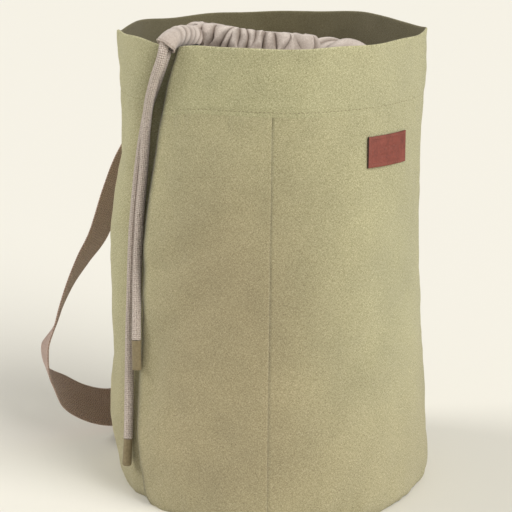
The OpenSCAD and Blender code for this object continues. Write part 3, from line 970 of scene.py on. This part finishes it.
def collar():
    a = np.linspace(0, 360, 1000, endpoint=False)
    c, out = ring_at(a), ring_out(a)
    up = np.array([0.0, 0.0, 1.0])
    h, size = gathers(a)
    still = 1 - 0.75 * bump(turn(a - 85), 42) - 0.7 * bump(turn(a - 326), 15)
    attach = lining_at(a + 90, HEM_F + 0.004, LINING_IN + 1.5)
    puff = 4 + 23 * bump(turn(a - 4), 24) + 17 * bump(turn(a - 40), 14)
    puff = puff + 5 * bump(turn(a - 120), 40)
    neck = c + out * 4.5 - up * 15
    rows = []
    # the skirt, from the hem line up to the neck under the casing
    for s in np.linspace(0, 1, 26)[:-1]:
        lift = math.sin(math.pi * s**1.4) * puff + (s**0.6 - s) * 14
        p = attach + (neck - attach) * s + up * np.asarray(lift)[:, None]
        deep = 1.2 + 2.6 * s
        p = p + (h - 0.6)[:, None] * (out * 0.6 + up * 0.5) * (
            deep * size * still * s**0.5)[:, None]
        rows.append(p)
    # over the casing and down inside it: (out, up, share of the gathers)
    casing = [(4.5, -15, 0.9), (5.6, -12.6, 1), (6.4, -10, 1), (6.9, -7, 1.05),
              (7.1, -4, 1.05), (7.0, -1, 1.0), (6.4, 2, 0.95), (5.2, 4.6, 0.8),
              (3.4, 6.4, 0.62), (1.2, 7.1, 0.5), (-1.2, 7.0, 0.45),
              (-3.4, 6.0, 0.5), (-5.0, 4.0, 0.6), (-6.0, 1.2, 0.7),
              (-6.4, -2, 0.75), (-6.4, -5.5, 0.75), (-6.0, -9, 0.8),
              (-5.4, -12.5, 0.8), (-5.0, -16, 0.9), (-4.8, -20, 0.9)]
    casing = spline(casing, 3)
    for o, z, share in casing:
        k = (h - 0.62) * 4.6 * size * still * share
        side = np.sign(o) * min(abs(o) / 4.0, 1)
        p = c + out * (o + side * k)[:, None]
        top = max(0.0, z) / CASING_TOP
        p = p + up * (z + 0.75 * top * k)[:, None]
        rows.append(p)
    grid = np.array(rows)
    # each pleat drifts sideways a little as it goes down
    drift = 1.7 * ripple(41, grid, 30)
    along = np.roll(c, -1, 0) - np.roll(c, 1, 0)
    along /= np.linalg.norm(along, axis=-1, keepdims=True)
    lean = 0.2 + 0.3 * np.sin(a * 0.19) + 0.22 * np.sin(a * 0.53 + 1)
    rise = np.clip(grid[..., 2] - c[:, 2], -25, 8)
    grid = grid + along[None] * (drift + lean * rise)[..., None]
    grid = grid + 0.35 * ripple(43, grid, 11)[..., None] * out[None]
    # painted shade in the creases between the gathers, none low on the skirt
    crease = np.clip(1 - h**2.4, 0, 1) * still
    high = np.linspace(0, 1, len(grid))[:, None]
    dark = crease[None] * smooth(high / 0.25) * 0.95
    return grid, dark


# collar() gives its grid and the painted shade for its creases
collar_grid, collar_crease_shade = collar()
# columns run to the left seen from outside here
collar_piece = shell("collar_cloth", collar_grid, 0.9, COTTON, closed=True,
                     depth=collar_crease_shade)
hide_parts("collar_skirt", "collar_channel")
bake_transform(collar_piece)

# ------------------------------------------- the channel's loose end
END_ROUTE = [(-54, -26, 402), (-61, -20, 405), (-68, -32, 409), (-73, -50, 412),
             (-77.5, -68, 414.6), (-82.6, -81, 415.4), (-87, -88, 413),
             (-89.8, -90.3, 409.6)]


def channel_end():
    line = spline(END_ROUTE, 14)
    n = len(line)
    s = np.linspace(0, 1, n)
    t = np.gradient(line, axis=0)
    t /= np.linalg.norm(t, axis=1, keepdims=True)
    top = np.cross((1.0, 0.0, 0.0), t)
    top /= np.linalg.norm(top, axis=1, keepdims=True)
    side = np.cross(top, t)
    g = np.linspace(0, 2 * math.pi, 64, endpoint=False)
    wide = 7.6 - 0.3 * np.sin(np.pi * s) + 1.6 * bump(s, 0.12)
    tall = 8.2 + 1.0 * smooth((s - 0.72) / 0.28) + 1.4 * bump(s, 0.12)
    rows, dark = [], []
    for i in range(n):
        # the cloth wrinkles where the tube bends and by the ring
        tight = 2.6 * bump(s[i] - 0.3, 0.17) + 1.4 * bump(s[i] - 0.62, 0.12)
        wrinkle = tight * np.sin(s[i] * 62 + 1.1 * np.sin(g * 2) + 0.8 * g)
        wrinkle = wrinkle * (0.6 + 0.5 * np.cos(g - 3.6))
        # painted shade over the whole end, deeper in the wrinkles' hollows
        dark.append(np.clip(0.2 - 0.28 * wrinkle, 0, 0.85))
        lip = 0.7 * bump(s[i] - 1.0, 0.03) + 0.35 * bump(s[i] - 0.93, 0.012)
        flat = 0.10 * np.cos(2 * g) * smooth((s[i] - 0.7) / 0.3)
        r = 1 + (wrinkle * 0.55 + lip - 0.25 * bump(s[i] - 0.955, 0.012)) / 8 + flat
        rows.append(line[i] + side[i] * (wide[i] * r * np.cos(g))[:, None]
                    + top[i] * (tall[i] * r * np.sin(g))[:, None])
    grid = np.array(rows)
    grid = grid + 0.3 * ripple(51, grid, 12)[..., None] * np.array([0.3, 0.3, 0.8])
    return shell("channel_end_cloth", grid, 1.1, COTTON, closed=True, depth=dark)


end_piece = channel_end()
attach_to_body(end_piece, "collar")
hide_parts("channel_end")

# the run of cord inside the channel shows only at the two exits
RUN_UP = [(-89.9, -90.4, 414.4), (-84.6, -84, 417), (-79.1, -71, 417.5),
          (-74, -52, 416.5), (-70, -32, 414), (-67, -17, 411)]
RUN_DOWN = [(-88.5, -85.2, 406.4), (-84.4, -80, 410), (-79.1, -69, 412),
            (-74, -52, 411.5), (-70, -33, 408.8), (-67, -19, 405)]
loop = ring_at(np.linspace(196, 524, 60))
inner_line = np.concatenate([spline(RUN_UP, 6), loop, spline(RUN_DOWN, 6)[::-1]])
run = tube("drawcord_braid", inner_line, CORD_D / 2, 20, CORD, ref=(0.2, 0.1, 1.0))
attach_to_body(run, "collar")
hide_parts("drawcord")


# ------------------------------------------------------------- the strap
STRAP_ROUTE = [
    (-2.5, 130, 333.5), (-20, 131.5, 333), (-36, 132, 332), (-64, 129, 328),
    (-95, 118, 317), (-120, 107, 296), (-137, 98, 270), (-149, 90, 241),
    (-163, 82, 202), (-177, 74, 179), (-188, 66, 159), (-197, 58, 137),
    (-203, 52, 118), (-212, 46, 97), (-210, 50, 70), (-196, 61, 48),
    (-178, 74, 32), (-156, 89, 22), (-128, 107, 20), (-95, 126, 21),
    (-60, 141, 21), (-36, 148.5, 21), (-20, 152, 21), (-2.5, 153, 21)]
STRAP_ACROSS = [
    (0, 0, -1), (0, 0, -1), (0, 0.05, -1), (0.05, 0.2, -1), (0.2, 0.45, -0.9),
    (0.35, 0.62, -0.7), (0.45, 0.72, -0.52), (0.45, 0.78, -0.42), (0.35, 0.85, -0.4),
    (0.2, 0.9, -0.38), (0.05, 0.93, -0.35), (-0.05, 0.95, -0.32), (-0.11, 0.95, -0.3),
    (-0.28, 0.92, -0.27), (-0.11, 0.95, -0.25), (0.2, 0.9, 0.25), (0.27, 0.83, 0.46),
    (0.18, 0.7, 0.7), (0.05, 0.4, 0.92), (0, 0.1, 1), (0, 0, 1), (0, 0, 1), (0, 0, 1),
    (0, 0, 1)]


def ribbon(name, line, across, width, thick, material, body):
    t = np.gradient(line, axis=0)
    t /= np.linalg.norm(t, axis=1, keepdims=True)
    w = across - (across * t).sum(1, keepdims=True) * t
    w /= np.linalg.norm(w, axis=1, keepdims=True)
    n = np.cross(t, w)
    s = np.concatenate([[0], np.cumsum(np.linalg.norm(np.diff(line, axis=0), axis=1))])
    # section of the webbing: thin, with round selvedges that curl a little
    section = [(k, 0.5) for k in np.linspace(0.47, -0.47, 20)]
    section += [(-0.49, 0.35), (-0.5, 0.0), (-0.49, -0.35)]
    section += [(k, -0.5) for k in np.linspace(-0.47, 0.47, 20)]
    section += [(0.49, -0.35), (0.5, 0.0), (0.49, 0.35)]
    verts, faces, uvs = [], [], []
    m = len(section)
    for i in range(len(line)):
        nibble = 0.25 * math.sin(2 * math.pi * s[i] / 2.6)
        bow = 0.8 * math.sin(s[i] / 37.0)
        for k, h in section:
            edge = nibble if abs(k) > 0.46 else 0
            curl = 1.2 * (2 * k) ** 4 * math.sin(s[i] / 90 + 1)
            p = line[i] + w[i] * (k * width + math.copysign(edge, k))
            verts.append(p + n[i] * (h * thick + curl * 0.4 + bow * (0.25 - k * k)))
            uvs.append((k * width, s[i]))
    for i in range(len(line) - 1):
        for j in range(m):
            k = (j + 1) % m
            faces.append((i * m + j, i * m + k, (i + 1) * m + k, (i + 1) * m + j))
    faces.append(tuple(range(m))[::-1])
    last = (len(line) - 1) * m
    faces.append(tuple(range(last, last + m)))
    piece = make_piece(name, verts, faces, uvs, material)
    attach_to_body(piece, body)
    return piece


strap = ribbon("strap_webbing", spline(STRAP_ROUTE, 34), spline(STRAP_ACROSS, 34),
               STRAP_W, STRAP_T, WEB, "strap")
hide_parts("strap")


def strap_end(name, node, z, y0, y1):
    line = np.linspace((0, y0, z), (0, y1, z), 8)
    across = np.tile((0.0, 0.0, 1.0), (8, 1))
    piece = ribbon(name, line, across, STRAP_W, STRAP_T, WEB, "bag")
    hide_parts(node)


strap_end("strap_top_webbing", "strap_top_end", 333.5, 120.6, 131)
strap_end("strap_bottom_webbing", "strap_bottom_end", 21, 146.2, 154)


# ------------------------------------------------------ the leather label
LABEL_DEG, LABEL_Z, LABEL_W, LABEL_H, LABEL_T = 46.0, 321.0, 44.0, 26.0, 2.0
LABEL_SPAN = LABEL_W / 2 / 2.13


def tooling(u, v):
    """Depth of the generic tooling: a double border, three dots, a bar."""
    eu, ev = LABEL_W / 2 - abs(u), LABEL_H / 2 - abs(v)
    edge = min(eu, ev)
    deep = 0.30 * math.exp(-(((edge - 3.2) / 0.35) ** 2))
    deep += 0.22 * math.exp(-(((edge - 4.6) / 0.3) ** 2))
    for k in (-6.0, 0.0, 6.0):
        r = math.hypot(u - k, v - 2.2)
        deep += 0.4 * math.exp(-(((r - 1.5) / 0.45) ** 2))
    bar = max(abs(u) - 10.0, abs(v + 3.8) - 0.9, 0)
    deep += 0.4 * math.exp(-((bar / 0.35) ** 2))
    return deep


def label():
    nu, nv = 110, 66
    us = np.linspace(-LABEL_W / 2, LABEL_W / 2, nu)
    vs = np.linspace(-LABEL_H / 2, LABEL_H / 2, nv)
    a = (LABEL_DEG + us / (LABEL_W / 2) * LABEL_SPAN)[None]
    f = ((LABEL_Z + vs) / SACK_H)[:, None]
    base = wall(a, f, CANVAS_IN)
    n = grid_normals(base, False)
    out = np.median(n.reshape(-1, 3), axis=0)
    push = float(np.max(creases(a, f + 0 * a, base))) * 0.55
    verts, faces, uvs, slots = [], [], [], []
    for layer in (0, 1):
        for i in range(nv):
            for j in range(nu):
                near = min(LABEL_W / 2 - abs(us[j]), LABEL_H / 2 - abs(vs[i]))
                soft = 0.5 * math.exp(-near / 0.5)
                lift = LABEL_T - soft - tooling(us[j], vs[i]) if layer == 0 else 0.0
                verts.append(base[i, j] + out * (push + 0.2 + lift))
                uvs.append((us[j], vs[i]))
    k = nu * nv
    for i in range(nv - 1):
        for j in range(nu - 1):
            q = i * nu + j
            faces.append((q, q + 1, q + nu + 1, q + nu))
            faces.append((k + q, k + q + nu, k + q + nu + 1, k + q + 1))
            slots += [0, 0]
    rim = [*range(nu), *[i * nu + nu - 1 for i in range(1, nv)],
           *[(nv - 1) * nu + j for j in range(nu - 2, -1, -1)],
           *[i * nu for i in range(nv - 2, 0, -1)]]
    for q, r in zip(rim, rim[1:] + rim[:1]):
        faces.append((q, k + q, k + r, r))
        slots.append(1)
    piece = make_piece("label_leather", verts, faces, uvs, [LEATHER, EDGE], slots)
    piece.data.set_sharp_from_angle(angle=math.radians(40))
    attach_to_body(piece, "bag")
    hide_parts("leather_label")
    # stitches round the edge
    inset = 1.9
    corners = [(-1, -1), (1, -1), (1, 1), (-1, 1), (-1, -1)]
    for i in range(4):
        s = np.linspace(0, 1, 60)
        cu = LABEL_W / 2 - inset
        cv = LABEL_H / 2 - inset
        u = (corners[i][0] + (corners[i + 1][0] - corners[i][0]) * s) * cu
        v = (corners[i][1] + (corners[i + 1][1] - corners[i][1]) * s) * cv
        line = wall(LABEL_DEG + u / (LABEL_W / 2) * LABEL_SPAN, (LABEL_Z + v) / SACK_H,
                    CANVAS_IN) + out * (push + 0.2 + LABEL_T)
        row = stitches(f"label_stitches_{i}", line, np.tile(out, (60, 1)), 2.7,
                       (1.9, 0.55), LABEL_THREAD, lift=-0.15)
        row.parent = piece


label()



# ----------------------------------------------------- floor and lighting
def make_stage():
    mesh = bpy.data.meshes.new("floor")
    w = 6.0
    mesh.from_pydata([(-w, -w, 0), (w, -w, 0), (w, w, 0), (-w, w, 0)], [],
                     [(0, 1, 2, 3)])
    floor = bpy.data.objects.new("floor", mesh)
    bpy.context.scene.collection.objects.link(floor)
    m, _, shader = tree_of("floor_paper")
    shader.inputs["Base Color"].default_value = (0.82, 0.80, 0.735, 1)
    shader.inputs["Roughness"].default_value = 0.9
    shader.inputs["Specular IOR Level"].default_value = 0.1
    mesh.materials.append(m)
    floor.location.z = -0.0005
    world = bpy.data.worlds.new("world")
    bpy.context.scene.world = world
    world.use_nodes = True
    sky = world.node_tree.nodes["Background"]
    sky.inputs[0].default_value = (1.0, 0.985, 0.95, 1)
    sky.inputs[1].default_value = 0.40
    # name, degrees round from the front, degrees up, softness, strength
    for name, around, up, soft, power in (
        ("sun_right", 50, 36, 45, 2.5),
        ("sun_left", -92, 30, 25, 1.7),
    ):
        data = bpy.data.lights.new(name, "SUN")
        data.energy = power
        data.angle = math.radians(soft)
        data.color = (1.0, 0.985, 0.95)
        lamp = bpy.data.objects.new(name, data)
        bpy.context.scene.collection.objects.link(lamp)
        level = math.cos(math.radians(up))
        way = Vector((math.sin(math.radians(around)) * level,
                      -math.cos(math.radians(around)) * level,
                      math.sin(math.radians(up))))
        lamp.location = way * 2
        lamp.rotation_euler = (-way).to_track_quat("-Z", "Y").to_euler()
    bpy.context.scene.view_settings.view_transform = "Standard"


make_stage()
